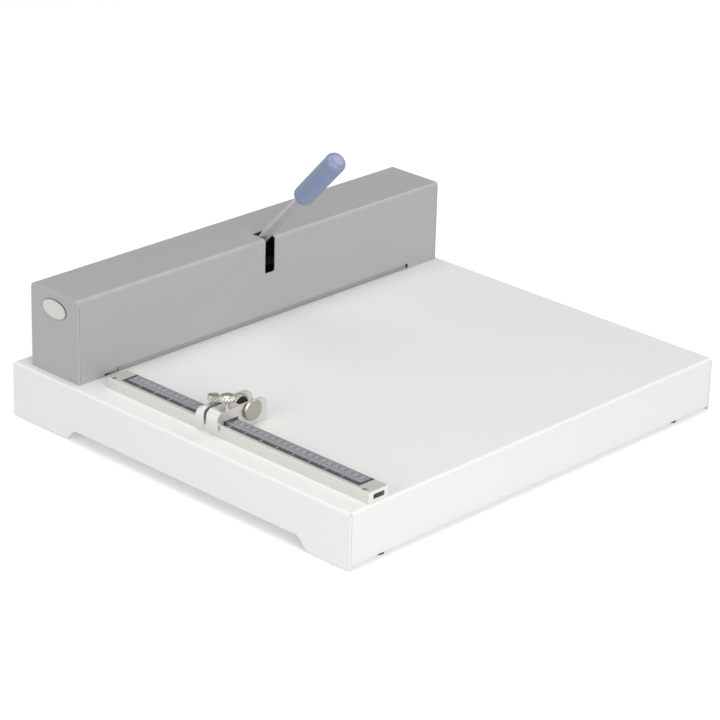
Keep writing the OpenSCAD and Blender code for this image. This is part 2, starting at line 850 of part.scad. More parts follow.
module frame_nuts() color(steel) {
    h = bolt_r * nut_h_share;
    for (side = [-1, 1]) for (t = [-1, 1])
        translate([cover_xm + side * post_x, crease_y + t * bolt_y, under_z - h])
            hex_nut(bolt_r, bolt_r * nut_r_share, h);
}

module shaft_bush(side) color(brass) {
    at_end(side) difference() {
        union() {
            bar_x(bush_r - fixed_gap, frame_in - bush_flange_t, frame_out, crease_y, shaft_z);
            bar_x(bush_flange_r, frame_in - bush_flange_t, frame_in, crease_y, shaft_z);
        }
        bar_x(shaft_r + run_gap, frame_in - bush_flange_t - over, frame_out + over, crease_y, shaft_z);
    }
}

module left_shaft_bush() shaft_bush(-1);

module right_shaft_bush() shaft_bush(1);

// Guide posts, their fasteners and the return springs

module guide_posts() color(steel) {
    for (side = [-1, 1]) translate([cover_xm + side * post_x, crease_y, 0]) difference() {
        union() {
            translate([0, 0, table_z]) cylinder(r = post_r, h = post_neck_z - table_z);
            translate([0, 0, post_neck_z]) cylinder(r = post_neck_r, h = post_top - post_neck_z);
        }
        translate([0, 0, table_z - over])
            cylinder(r = post_screw_r + thread_gap, h = post_screw_in + 2 * over);
    }
}

module post_screws() color(dark_steel) {
    for (side = [-1, 1]) translate([cover_xm + side * post_x, crease_y, under_z]) rotate([180, 0, 0])
        cap_screw(post_screw_r, sheet_t + post_screw_in);
}

module post_nuts() color(steel) {
    for (side = [-1, 1]) translate([cover_xm + side * post_x, crease_y, post_neck_z])
        hex_nut(post_neck_r, post_nut_r, post_nut_h);
}

// A coil of round wire as one tube, its ends closed
function coil_points(z0, rise) = [for (i = [0:spring_rings * spring_turns])
    let (a = 360 * i / spring_rings, z = z0 + rise * i / (spring_rings * spring_turns))
    for (j = [0:spring_sides - 1]) let (b = 360 * j / spring_sides)
    [(spring_r + spring_wire_r * cos(b)) * cos(a), (spring_r + spring_wire_r * cos(b)) * sin(a),
     z + spring_wire_r * sin(b)]];

function coil_faces(rings) = concat(
    [for (i = [0:rings - 1]) for (j = [0:spring_sides - 1])
        let (k = (j + 1) % spring_sides, a = i * spring_sides, b = (i + 1) * spring_sides)
        each [[a + j, b + j, b + k], [a + j, b + k, a + k]]],
    [for (j = [1:spring_sides - 2]) each [[0, j, j + 1],
        [rings * spring_sides, rings * spring_sides + j + 1, rings * spring_sides + j]]]);

module return_spring(side) color(steel) {
    rise = spring_h - 2 * spring_wire_r;
    translate([cover_xm + side * post_x, crease_y, 0])
        polyhedron(coil_points(spring_z0 + spring_wire_r, rise), coil_faces(spring_rings * spring_turns));
}

module left_return_spring() return_spring(-1);

module right_return_spring() return_spring(1);

// Shaft, hub, lever and cams

// Carries a piece drawn along +Z from the shaft's axis out along the lever
module on_lever() {
    translate([lever_x, crease_y, shaft_z]) rotate([90 - lever_angle, 0, 0]) children();
}

// The same, drawn along the pin that crosses the lever
module across_lever() {
    translate([lever_x, crease_y, shaft_z]) rotate([-lever_angle, 0, 0]) children();
}

module cross_shaft() color(steel) {
    difference() {
        bar_x(shaft_r, cover_xm - shaft_half, cover_xm + shaft_half, crease_y, shaft_z);
        across_lever() cylinder(r = pin_r + fixed_gap, h = 2 * hub_r + 2 * over, center = true);
        for (side = [-1, 1]) bar_z(pin_r + fixed_gap, shaft_z - cam_hub_r - over, shaft_z + cam_hub_r + over,
                                   cover_xm + side * (cam_x - (cam_w + cam_hub_w) / 2), crease_y);
    }
}

module shaft_collars() color(dark_steel) {
    for (side = [-1, 1]) at_end(side) difference() {
        bar_x(collar_r, frame_out + collar_gap, frame_out + collar_gap + collar_t, crease_y, shaft_z);
        bar_x(shaft_r + fixed_gap, frame_out, frame_out + 2 * collar_t, crease_y, shaft_z);
    }
}

module lever_hub() color(steel) {
    difference() {
        union() {
            bar_x(hub_r, lever_x - hub_w / 2, lever_x + hub_w / 2, crease_y, shaft_z);
            on_lever() cylinder(r = neck_r, h = neck_len);
        }
        bar_x(shaft_r + fixed_gap, lever_x - hub_w, lever_x + hub_w, crease_y, shaft_z);
        on_lever() translate([0, 0, rod_seat]) cylinder(r = rod_r + thread_gap, h = neck_len);
        across_lever() cylinder(r = pin_r + fixed_gap, h = 2 * hub_r + 2 * over, center = true);
    }
}

module hub_pin() color(dark_steel) {
    across_lever() cylinder(r = pin_r, h = 2 * hub_r, center = true);
}

module lever_rod() color(alu) {
    on_lever() translate([0, 0, rod_seat]) cylinder(r = rod_r, h = grip_start - rod_seat + rod_in_grip);
}

// Half outline of the grip: a tapered body with a round rim at each end
module grip_outline() {
    low = grip_round_low;
    top = grip_round_top;
    polygon([[0, 0], [grip_r_low - low, 0], [grip_r_low - low, low], [grip_r_low, low],
             [grip_r_top, grip_len - top], [grip_r_top - top, grip_len - top], [grip_r_top - top, grip_len],
             [0, grip_len]]);
    translate([grip_r_low - low, low]) intersection() {
        circle(low);
        translate([0, -low]) square(low);
    }
    translate([grip_r_top - top, grip_len - top]) intersection() {
        circle(top);
        square(top);
    }
}

module lever_grip() color(grip_blue) {
    on_lever() translate([0, 0, grip_start]) difference() {
        rotate_extrude() grip_outline();
        translate([0, 0, -over]) cylinder(r = rod_r + fixed_gap, h = rod_in_grip + fixed_gap + over);
    }
}

// Lift of the cam per radian of the lever, the same all along the stroke
cam_rate = stroke / (lever_swing * PI / 180);
cam_a0 = -cam_lead;
cam_a1 = lever_swing + cam_lead;
cam_a2 = cam_a1 + cam_crest;
cam_low = cam_base + cam_rate * cam_a0 * PI / 180;
cam_high = cam_base + cam_rate * cam_a1 * PI / 180;
cam_peak = cam_high + cam_rate * cam_crest * PI / 360;

// Distance from the shaft's axis to the tangent that faces down at lever angle a: an involute
// over the stroke, so that a flat pad moves evenly, then a round crest and an easy return
function cam_reach(a) =
    a <= cam_a1 ? cam_base + cam_rate * a * PI / 180 :
    a <= cam_a2 ? let (x = (a - cam_a1) * PI / 180)
        cam_high + cam_rate * x - cam_rate * x * x / (cam_crest * PI / 90) :
    cam_low + (cam_peak - cam_low) * (1 + cos(180 * (a - cam_a2) / (360 + cam_a0 - cam_a2))) / 2;

// How fast that distance changes, per radian
function cam_change(a) =
    a <= cam_a1 ? cam_rate :
    a <= cam_a2 ? cam_rate * (cam_a2 - a) / cam_crest :
    -(cam_peak - cam_low) * sin(180 * (a - cam_a2) / (360 + cam_a0 - cam_a2)) / 2
        * 180 / (360 + cam_a0 - cam_a2);

module cam_outline() {
    translate([crease_y, shaft_z]) polygon([for (i = [0:cam_steps - 1])
        let (a = cam_a0 + 360 * i / cam_steps, h = cam_reach(a), d = cam_change(a))
        [-h * sin(a) - d * cos(a), -h * cos(a) + d * sin(a)]]);
}

module press_cam(side) color(dark_steel) {
    xm = cover_xm + side * cam_x;
    hub_in = xm - side * (cam_w / 2 + cam_hub_w);
    difference() {
        union() {
            along_x(xm - cam_w / 2, cam_w) cam_outline();
            bar_x(cam_hub_r, min(hub_in, xm), max(hub_in, xm), crease_y, shaft_z);
        }
        bar_x(shaft_r + fixed_gap, xm - 2 * cam_w, xm + 2 * cam_w, crease_y, shaft_z);
        bar_z(pin_r + fixed_gap, shaft_z - cam_hub_r - over, shaft_z + cam_hub_r + over,
              xm - side * (cam_w + cam_hub_w) / 2, crease_y);
    }
}

module left_cam() press_cam(-1);

module right_cam() press_cam(1);

module cam_pins() color(steel) {
    for (side = [-1, 1]) bar_z(pin_r, shaft_z - cam_hub_r, shaft_z + cam_hub_r,
                               cover_xm + side * (cam_x - (cam_w + cam_hub_w) / 2), crease_y);
}

// Beam and creasing blade

blade_screw_xs = [for (i = [0:blade_screw_count - 1])
    blade_x0 + blade_screw_edge + (blade_x1 - blade_x0 - 2 * blade_screw_edge) * i / (blade_screw_count - 1)];
blade_screw_z = jaw_z + blade_screw_up;
blade_back = crease_y + blade_t / 2;

module press_beam() color(steel) {
    ya = crease_y - beam_d / 2;
    difference() {
        union() {
            block(cover_xm - beam_half, cover_xm + beam_half, ya, ya + beam_d, beam_z, beam_top);
            block(blade_x0, blade_x1, blade_back, ya + beam_d, jaw_z, beam_z);
            for (side = [-1, 1]) bar_z(boss_r, beam_z, beam_top + boss_h, cover_xm + side * post_x, crease_y);
        }
        for (side = [-1, 1]) bar_z(guide_bush_r, beam_z - over, beam_top + boss_h + over,
                                   cover_xm + side * post_x, crease_y);
        for (x = blade_screw_xs) bar_y(blade_screw_r + thread_gap, blade_back - over,
                                       blade_back + blade_screw_in + over, x, blade_screw_z);
        for (x = pad_screw_xs) bar_z(pad_screw_r + thread_gap, beam_top - pad_screw_in, beam_top + over,
                                     x, crease_y);
    }
}

pad_screw_xs = [for (side = [-1, 1]) for (t = [-1, 1]) cover_xm + side * cam_x + t * pad_screw_x];

module guide_bushes() color(brass) {
    for (side = [-1, 1]) translate([cover_xm + side * post_x, crease_y, beam_z]) difference() {
        cylinder(r = guide_bush_r - fixed_gap, h = beam_h + boss_h);
        translate([0, 0, -over]) cylinder(r = post_r + run_gap, h = beam_h + boss_h + 2 * over);
    }
}

module cam_pads() color(dark_steel) {
    for (side = [-1, 1]) difference() {
        xm = cover_xm + side * cam_x;
        block(xm - pad_l / 2, xm + pad_l / 2, crease_y - pad_d / 2, crease_y + pad_d / 2, beam_top, pad_top);
        for (t = [-1, 1]) translate([xm + t * pad_screw_x, crease_y, beam_top]) {
            translate([0, 0, -over]) cylinder(r = pad_screw_r + thread_gap, h = pad_t + 2 * over);
            translate([0, 0, pad_t - pad_screw_r])
                cylinder(r1 = pad_screw_r + thread_gap, r2 = 2 * pad_screw_r + thread_gap, h = pad_screw_r);
        }
    }
}

module pad_screws() color(steel) {
    for (x = pad_screw_xs) translate([x, crease_y, pad_top])
        slotted_screw(pad_screw_r, pad_t + pad_screw_in - screw_past, 2 * pad_screw_r, pad_screw_r, true);
}

module creasing_blade() color(dark_steel) {
    difference() {
        along_x(blade_x0, blade_x1 - blade_x0) {
            rect(crease_y - blade_t / 2, crease_y + blade_t / 2, edge_z + blade_t / 2, edge_z + blade_h);
            translate([crease_y, edge_z + blade_t / 2]) circle(blade_t / 2);
        }
        for (x = blade_screw_xs) bar_y(blade_screw_r + hole_gap, crease_y - over, crease_y + over,
                                       x, blade_screw_z);
    }
}

module blade_clamp() color(steel) {
    yb = crease_y - blade_t / 2;
    difference() {
        block(blade_x0, blade_x1, yb - blade_clamp_t, yb, jaw_z, beam_z - run_gap);
        for (x = blade_screw_xs) bar_y(blade_screw_r + hole_gap, yb - blade_clamp_t - over, yb + over,
                                       x, blade_screw_z);
    }
}

module blade_screws() color(dark_steel) {
    for (x = blade_screw_xs) translate([x, crease_y - blade_t / 2 - blade_clamp_t, blade_screw_z])
        rotate([90, 0, 0]) cap_screw(blade_screw_r, blade_clamp_t + blade_t + blade_screw_in);
}

// Stop on the side guide

// Outline of a block that straddles the guide, clear of its scale, as wide and high as told
module saddle_outline(xb, r_right, top) {
    difference() {
        round_top(block_x0, xb, block_z0, top, block_r, r_right);
        rect(block_x0 - over, ruler_x0 - slide_gap, block_z0 - over, ruler_top - cheek_drop);
        rect(ruler_x0 - slide_gap - over, ruler_x1 + slide_gap, block_z0 - over, ruler_top + block_ride);
        rect(relief_x0, ruler_x1 + slide_gap, ruler_top, ruler_top + relief_h);
    }
}

module clamp_block() color(alu) {
    difference() {
        union() {
            along_y(clamp_y0, clamp_plate_t) saddle_outline(block_x1, block_r, block_z1);
            along_y(clamp_y0, clamp_len) saddle_outline(clamp_deep_x1, block_edge_r, block_z1);
        }
        bar_z(clamp_thumb_r + thread_gap, ruler_top, block_z1 + over, thumb_x, clamp_screw_y);
        bar_y(journal_r + run_gap, clamp_y0 - over, clamp_y1 + over, spindle_x, spindle_up);
    }
}

module stop_block() color(alu) {
    difference() {
        union() {
            along_y(stop_y0, stop_plate_t) saddle_outline(block_x1, block_r, block_z1);
            along_y(stop_y0, stop_len) saddle_outline(ruler_x1, block_edge_r, block_z1 - stop_step);
        }
        bar_z(stop_thumb_r + thread_gap, ruler_top, block_z1 + over, thumb_x, stop_screw_y);
        bar_y(thread_r + run_gap, stop_y0 - over, stop_y0 + stop_plate_t + over, spindle_x, spindle_up);
    }
}

// A thumb screw through a block: fluted head with a domed top, shank and tip above the guide
module thumb_screw(y, r, head_r, head_h, head_up, dome, n) {
    dome_r = head_r * head_r / dome / 2 + dome / 2;
    translate([thumb_x, y, 0]) {
        translate([0, 0, ruler_top + thumb_tip_gap])
            cylinder(r = r, h = block_z1 + head_up - ruler_top - thumb_tip_gap);
        translate([0, 0, block_z1 + head_up]) {
            knurled_disc(head_r, head_h, n);
            translate([0, 0, head_h]) intersection() {
                translate([0, 0, dome - dome_r]) sphere(r = dome_r);
                cylinder(r = head_r - dome / 2, h = dome);
            }
        }
    }
}

module clamp_thumb_screw() color(steel)
    thumb_screw(clamp_screw_y, clamp_thumb_r, clamp_head_r, clamp_head_h, clamp_head_up,
                clamp_head_r * clamp_dome_share, clamp_knurls);

module stop_thumb_screw() color(steel)
    thumb_screw(stop_screw_y, stop_thumb_r, stop_head_r, stop_head_h, stop_head_up,
                stop_head_r * stop_dome_share, stop_knurls);

module fine_knob() color(steel) {
    disc_y1 = clamp_y0 - knob_gap - knob_hub_l;
    difference() {
        union() {
            bar_y(knob_r, disc_y1 - knob_t + knob_edge_r, disc_y1 - knob_edge_r, spindle_x, spindle_up);
            bar_y(knob_r - knob_edge_r, disc_y1 - knob_t, disc_y1, spindle_x, spindle_up);
            bar_y(knob_hub_r, disc_y1, clamp_y0 - knob_gap, spindle_x, spindle_up);
        }
        bar_y(thread_r + fixed_gap, disc_y1 - knob_t / 2, clamp_y0, spindle_x, spindle_up);
    }
}

// Screw held in the clamp block between the knob and a ring, its thread in the stop block
module fine_spindle() color(steel) {
    hub_y = clamp_y0 - knob_gap;
    disc_y1 = hub_y - knob_hub_l;
    ring_y = clamp_y1 + knob_gap;
    bar_y(thread_r, disc_y1 - knob_t / 2, hub_y, spindle_x, spindle_up);
    bar_y(journal_r, hub_y, ring_y, spindle_x, spindle_up);
    bar_y(collar_ring_r, ring_y, ring_y + collar_ring_t, spindle_x, spindle_up);
    bar_y(thread_r, ring_y, stop_y0 + stop_plate_t + spindle_past, spindle_x, spindle_up);
}

module spindle_lock_nut() color(black) {
    translate([spindle_x, stop_y0 - lock_gap, spindle_up]) rotate([90, 0, 0]) difference() {
        knurled_disc(lock_r, lock_t, lock_knurls);
        translate([0, 0, -over]) cylinder(r = thread_r + run_gap, h = lock_t + 2 * over);
    }
}

table_shell();
table_rails();
bed_channel();
bed_bar();
bed_screws();
rubber_feet();
foot_screws();
foot_nuts();
ruler_bar();
ruler_scale();
ruler_screws();
ruler_nuts();
housing_cover();
paper_guide();
badge_plate();
cover_screws();
left_end_frame();
right_end_frame();
frame_bolts();
frame_nuts();
left_shaft_bush();
right_shaft_bush();
guide_posts();
post_screws();
post_nuts();
left_return_spring();
right_return_spring();
cross_shaft();
shaft_collars();
lever_hub();
hub_pin();
lever_rod();
lever_grip();
left_cam();
right_cam();
cam_pins();
press_beam();
guide_bushes();
cam_pads();
pad_screws();
creasing_blade();
blade_clamp();
blade_screws();
clamp_block();
clamp_thumb_screw();
fine_knob();
fine_spindle();
stop_block();
stop_thumb_screw();
spindle_lock_nut();
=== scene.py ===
import json
import math

import bmesh
import bpy
from mathutils import Matrix, Vector


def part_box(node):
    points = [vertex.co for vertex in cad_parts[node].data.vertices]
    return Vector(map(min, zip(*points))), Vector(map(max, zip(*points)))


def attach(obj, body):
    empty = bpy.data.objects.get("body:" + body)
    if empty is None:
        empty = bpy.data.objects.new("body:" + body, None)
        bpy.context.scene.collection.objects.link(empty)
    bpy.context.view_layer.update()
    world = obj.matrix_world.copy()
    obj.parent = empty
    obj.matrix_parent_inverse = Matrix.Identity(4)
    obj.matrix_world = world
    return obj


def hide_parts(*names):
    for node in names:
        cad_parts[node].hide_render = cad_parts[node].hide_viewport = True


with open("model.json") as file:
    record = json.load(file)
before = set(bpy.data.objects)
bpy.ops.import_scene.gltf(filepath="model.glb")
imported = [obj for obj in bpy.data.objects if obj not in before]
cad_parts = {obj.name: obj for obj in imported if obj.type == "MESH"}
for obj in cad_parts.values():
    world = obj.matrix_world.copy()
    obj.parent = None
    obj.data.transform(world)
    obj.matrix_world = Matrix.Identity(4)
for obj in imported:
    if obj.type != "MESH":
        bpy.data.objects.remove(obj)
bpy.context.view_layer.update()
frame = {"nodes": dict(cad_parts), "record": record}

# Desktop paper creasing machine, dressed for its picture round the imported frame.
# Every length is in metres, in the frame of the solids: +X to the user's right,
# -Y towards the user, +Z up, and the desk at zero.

scene = bpy.context.scene
scene.view_settings.view_transform = "Standard"


# Camera
# A long lens from the user's left and a little above, as in the photograph. The
# place and turn were solved from the straight edges of the table and the housing.
camera = bpy.data.objects.new("camera", bpy.data.cameras.new("camera"))
scene.collection.objects.link(camera)
scene.camera = camera
camera.data.sensor_width = 36
camera.data.lens = 144.2
camera.data.clip_start = 0.1
camera.data.clip_end = 100
sight_right = Vector((0.69494, -0.71857, 0.02673)).normalized()
sight_up = Vector((0.26586, 0.29130, 0.91895)).normalized()
sight_turn = Matrix((sight_right, sight_up, sight_right.cross(sight_up))).transposed()
camera.matrix_world = Matrix.Translation((-2.3428, -2.2041, 1.4468)) @ sight_turn.to_4x4()


# Daylight tent
# A white tent all round fills the shadows, as in a catalogue picture. Wide lamps
# above, in front and on the left light the top, the front and the left side, and a
# small one on the right gives the housing's front bend its narrow highlight.
def linear(hex_colour):
    parts = [int(hex_colour[i:i + 2], 16) / 255 for i in (1, 3, 5)]
    return [p / 12.92 if p <= 0.04045 else ((p + 0.055) / 1.055) ** 2.4 for p in parts] + [1.0]


def add_node(tree, kind, values=None, links=None, **settings):
    node = tree.nodes.new("ShaderNode" + kind)
    for name, value in settings.items():
        setattr(node, name, value)
    for name, value in (values or {}).items():
        node.inputs[name].default_value = value
    for name, source in (links or {}).items():
        tree.links.new(source, node.inputs[name])
    return node


tent = bpy.data.worlds.new("tent")
scene.world = tent
tent.use_nodes = True
tent.node_tree.nodes.clear()
tent_light = add_node(tent.node_tree, "Background", {"Color": linear("#FFFFFF"), "Strength": 0.36})
tent_seen = add_node(tent.node_tree, "Background", {"Color": linear("#FFFFFF"), "Strength": 1.0})


def seen_rays(tree):
    """1 for what the camera sees, straight, in a glossy face or through glass."""
    ray = add_node(tree, "LightPath")
    straight = add_node(tree, "Math", operation="MAXIMUM", links={
        0: ray.outputs["Is Camera Ray"], 1: ray.outputs["Is Glossy Ray"]})
    return add_node(tree, "Math", operation="MAXIMUM", links={
        0: straight.outputs[0], 1: ray.outputs["Is Transmission Ray"]}).outputs[0]


tent_mix = add_node(tent.node_tree, "MixShader", links={
    0: seen_rays(tent.node_tree), 1: tent_light.outputs[0], 2: tent_seen.outputs[0]})
add_node(tent.node_tree, "OutputWorld", links={"Surface": tent_mix.outputs[0]})


def hang_lamp(name, place, aim, width, watts):
    lamp = bpy.data.objects.new(name, bpy.data.lights.new(name, "AREA"))
    scene.collection.objects.link(lamp)
    lamp.data.shape = "SQUARE"
    lamp.data.size = width
    lamp.data.energy = watts
    lamp.location = place
    lamp.rotation_mode = "QUATERNION"
    lamp.rotation_quaternion = (Vector(aim) - Vector(place)).to_track_quat("-Z", "Y")


table_middle = (0, 0, 0.08)
housing_middle = (0, 0, 0.12)
hang_lamp("top_lamp", (-0.3, 0.5, 4.2), table_middle, 2.4, 57)
hang_lamp("front_lamp", (-1.6, -4.2, 1.9), table_middle, 2.6, 142)
hang_lamp("left_lamp", (-4.2, -0.4, 1.7), table_middle, 2.2, 64)
hang_lamp("edge_lamp", (2.8, -1.0, 2.95), housing_middle, 0.8, 20)


# Floor
# A white sheet under the machine. It keeps the soft shadow of the machine and
# is lifted to white only for what the camera and the glossy faces see.
def start_finish(name):
    finish = bpy.data.materials.new(name)
    finish.use_nodes = True
    finish.node_tree.nodes.clear()
    return finish, finish.node_tree


floor_finish, tree = start_finish("floor_paper")
floor_white = add_node(tree, "BsdfDiffuse", {"Color": linear("#DCDCDC")})
floor_lift = add_node(tree, "Emission", {"Color": linear("#FFFFFF"), "Strength": 0.42})
floor_seen = add_node(tree, "AddShader", links={0: floor_white.outputs[0], 1: floor_lift.outputs[0]})
floor_mix = add_node(tree, "MixShader", links={
    0: seen_rays(tree), 1: floor_white.outputs[0], 2: floor_seen.outputs[0]})
add_node(tree, "OutputMaterial", links={"Surface": floor_mix.outputs[0]})

floor_half = 12
floor_mesh = bpy.data.meshes.new("floor")
bm = bmesh.new()
bmesh.ops.create_grid(bm, x_segments=1, y_segments=1, size=floor_half)
bm.to_mesh(floor_mesh)
bm.free()
floor = bpy.data.objects.new("floor", floor_mesh)
scene.collection.objects.link(floor)
floor_mesh.materials.append(floor_finish)


# Grey flag
# A grey cloth behind the machine, seen only in its metal. It keeps the bright
# metal's upper faces mid grey, as they are in the photograph.
flag_way = Vector((0.668, 0.632, 0.42)).normalized()
flag_far = 4
flag_half = 2.3
flag_finish, tree = start_finish("flag_cloth")
flag_grey = add_node(tree, "Emission", {"Color": linear("#B2B1B0"), "Strength": 1.0})
add_node(tree, "OutputMaterial", links={"Surface": flag_grey.outputs[0]})
flag_mesh = bpy.data.meshes.new("grey_flag")
flag_turn = flag_way.to_track_quat("Z", "Y").to_matrix().to_4x4()
bm = bmesh.new()
bmesh.ops.create_grid(bm, x_segments=1, y_segments=1, size=flag_half,
                      matrix=Matrix.Translation(flag_way * flag_far) @ flag_turn)
bm.to_mesh(flag_mesh)
bm.free()
flag = bpy.data.objects.new("grey_flag", flag_mesh)
scene.collection.objects.link(flag)
flag_mesh.materials.append(flag_finish)
for seen in ("camera", "diffuse", "transmission", "volume_scatter", "shadow"):
    setattr(flag, "visible_" + seen, False)


# Table
# A box folded from 2.5 mm sheet steel, with an open relief and a seam at each
# corner, powder coated white: a fine orange peel and a soft sheen.
soft_angle = 40
edge_steps = 2
drift_per_metre = 5.0
peel_per_metre = 650.0
peel_depth = 0.0001


def powder_coat(name, colour, shade, roughness):
    """Sprayed and baked powder: even colour, and an orange peel about 1.5 mm across."""
    finish, tree = start_finish(name)
    place = add_node(tree, "TexCoord").outputs["Object"]
    drift = add_node(tree, "TexNoise", {"Scale": drift_per_metre, "Detail": 2.0}, {"Vector": place})
    tone = add_node(tree, "Mix", {6: linear(colour), 7: linear(shade)}, {0: drift.outputs[0]},
                    data_type="RGBA")
    peel = add_node(tree, "TexNoise", {"Scale": peel_per_metre, "Detail": 2.0}, {"Vector": place})
    bump = add_node(tree, "Bump", {"Strength": 0.12, "Distance": peel_depth}, {"Height": peel.outputs[0]})
    coat = add_node(tree, "BsdfPrincipled", {"Roughness": roughness, "IOR": 1.5},
                    {"Base Color": tone.outputs[2], "Normal": bump.outputs[0]})
    add_node(tree, "OutputMaterial", links={"Surface": coat.outputs[0]})
    return finish


def place_piece(name, bm, finish, body, node=None, soft_below=soft_angle):
    """Makes a finished mesh a piece of the machine, its edges soft below an angle."""
    mesh = bpy.data.meshes.new(name)
    for face in bm.faces:
        face.smooth = True
    for edge in bm.edges:
        edge.smooth = len(edge.link_faces) == 2 and edge.calc_face_angle(0) < math.radians(soft_below)
    bm.to_mesh(mesh)
    bm.free()
    mesh.materials.append(finish)
    piece = bpy.data.objects.new(name, mesh)
    scene.collection.objects.link(piece)
    even = piece.modifiers.new("even_shading", "WEIGHTED_NORMAL")
    even.keep_sharp = True
    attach(piece, body)
    if node:
        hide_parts(node)
    return piece


behaviour = frame["record"]["behaviour"]
body_of_node = {node: body for body, nodes in behaviour["bodies"].items() for node in nodes}
slot_of_node = {part["node"]: part["material_slot"] for part in frame["record"]["subparts"]}
joint_dist = 0.000002
flat_angle = 0.6


def solid_copy(node):
    """The faces of a solid, with flat areas joined again."""
    bm = bmesh.new()
    bm.from_mesh(frame["nodes"][node].data)
    bmesh.ops.remove_doubles(bm, verts=bm.verts, dist=joint_dist)
    bmesh.ops.dissolve_limit(bm, angle_limit=math.radians(flat_angle), verts=bm.verts, edges=bm.edges)
    return bm


def break_edges(bm, width):
    """Gives the sharp edges of a mesh the small round that real edges have."""
    sharp = [e for e in bm.edges
             if len(e.link_faces) == 2 and e.calc_face_angle(0) > math.radians(soft_angle)]
    bmesh.ops.bevel(bm, geom=sharp, offset=width, offset_type="OFFSET", segments=edge_steps, profile=0.5,
                    affect="EDGES", clamp_overlap=True, material=-1)


def dress_solid(node, finish, width):
    """A copy of a solid with its sharp edges broken, in place of the solid."""
    bm = solid_copy(node)
    break_edges(bm, width)
    piece = place_piece(node + "_piece", bm, finish, body_of_node[node], node)


# A warm white that stays just below paper white, with no mirror image in it.
white_powder = powder_coat("white_powder_coat", "#E2E2DF", "#DEDEDC", 0.5)
dress_solid("table_shell", white_powder, 0.0003)


# Housing
# A cover folded from one 1.5 mm sheet of steel over the press and powder coated grey,
# with a slot for the lever and a low slot for the sheet. Its ends are folded down
# from the top, so a seam is left at each upright corner. The solid's front bend is
# drawn in to the tighter one of the photograph.
housing_low, housing_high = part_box("housing_cover")
solid_bend_r = 0.010
front_bend_r = 0.0048
past_sheet = 0.002
fold_r = 0.0013
fold_angle = 60
seam_in = 0.0017
seam_w = 0.0004
seam_deep = 0.0009
seam_top = housing_high[2] - 0.0115
lip_r = 0.0004
close = 0.00005

# A middle grey, smoother than the table's white, so the bend shows as a thin light.
grey_powder = powder_coat("grey_powder_coat", "#A5A5A6", "#A1A1A2", 0.36)
bm = solid_copy("housing_cover")
for vert in bm.verts:
    arm = Vector((0, vert.co.y - housing_low[1] - solid_bend_r, vert.co.z - housing_high[2] + solid_bend_r))
    if arm.y < close and arm.z > -close and arm.length > solid_bend_r - past_sheet:
        shift = Vector((0, front_bend_r - solid_bend_r, solid_bend_r - front_bend_r))
        vert.co += shift - arm.normalized() * (solid_bend_r - front_bend_r)


def lies_at(edge, axis, at):
    """Whether both ends of an edge lie in a plane square to an axis."""
    return all(abs(vert.co[axis] - at) < close for vert in edge.verts)


ends = (housing_low[0], housing_high[0])
fold = [e for e in bm.edges if e.calc_face_angle(0) > math.radians(fold_angle)
        and any(lies_at(e, 0, at) for at in ends) and max(v.co.z for v in e.verts) > housing_low[2] + close]
bmesh.ops.bevel(bm, geom=fold, offset=fold_r, offset_type="OFFSET", segments=3, profile=0.5, affect="EDGES",
                clamp_overlap=False, material=-1)
seam_xs = (ends[0] + seam_in, ends[0] + seam_in + seam_w, ends[1] - seam_in - seam_w, ends[1] - seam_in)
cuts = [((at, 0, 0), (1, 0, 0)) for at in seam_xs] + [((0, 0, seam_top), (0, 0, 1))]
for cut_at, cut_way in cuts:
    bmesh.ops.bisect_plane(bm, geom=bm.verts[:] + bm.edges[:] + bm.faces[:],
                           plane_co=cut_at, plane_no=cut_way)
for at, inward in ((housing_low[1], 1), (housing_high[1], -1)):
    strips = []
    for face in bm.faces:
        middle = face.calc_center_median()
        if (abs(middle.y - at) < close and face.normal.y * inward < -0.99 and middle.z < seam_top
                and (seam_xs[0] < middle.x < seam_xs[1] or seam_xs[2] < middle.x < seam_xs[3])):
            strips.append(face)
    made = bmesh.ops.extrude_face_region(bm, geom=strips)["geom"]
    bmesh.ops.translate(bm, vec=(0, inward * seam_deep, 0),
                        verts=[g for g in made if isinstance(g, bmesh.types.BMVert)])
    bmesh.ops.delete(bm, geom=[f for f in strips if f.is_valid], context="FACES_ONLY")
    lips = [e for e in bm.edges if lies_at(e, 1, at) and e.calc_face_angle(0) > math.radians(fold_angle)
            and any(lies_at(e, 0, x) for x in seam_xs)]
    bmesh.ops.bevel(bm, geom=lips, offset=lip_r, offset_type="OFFSET", segments=2, profile=0.5,
                    affect="EDGES", clamp_overlap=False, material=-1)
piece = place_piece("housing_piece", bm, grey_powder, "base", "housing_cover", 50)


# Seen through the slots
# The strip that leads the sheet in is folded from grey sheet, painted a tone darker for the shade it lies in,
# and the press inside is plain dark and bright steel.
sheen_swing = 0.06
scratch_depth = 0.00005


def drawn_metal(name, colour, shade, roughness, line, grain=(1, 0.02, 1)):
    """Metal with fine lines left by drawing or turning, along the axis with the small grain."""
    finish, tree = start_finish(name)
    place = add_node(tree, "TexCoord").outputs["Object"]
    run = add_node(tree, "Mapping", {"Scale": grain}, {"Vector": place})
    lines = add_node(tree, "TexNoise", {"Scale": 1 / line, "Detail": 3.0}, {"Vector": run.outputs[0]})
    tone = add_node(tree, "Mix", {6: linear(colour), 7: linear(shade)}, {0: lines.outputs[0]},
                    data_type="RGBA")
    sheen = add_node(tree, "MapRange", {"To Min": roughness - sheen_swing, "To Max": roughness + sheen_swing},
                     {"Value": lines.outputs[0]})
    bump = add_node(tree, "Bump", {"Strength": 0.15, "Distance": scratch_depth}, {"Height": lines.outputs[0]})
    metal = add_node(tree, "BsdfPrincipled", {"Metallic": 1.0}, {
        "Base Color": tone.outputs[2], "Roughness": sheen.outputs[0], "Normal": bump.outputs[0]})
    add_node(tree, "OutputMaterial", links={"Surface": metal.outputs[0]})
    return finish


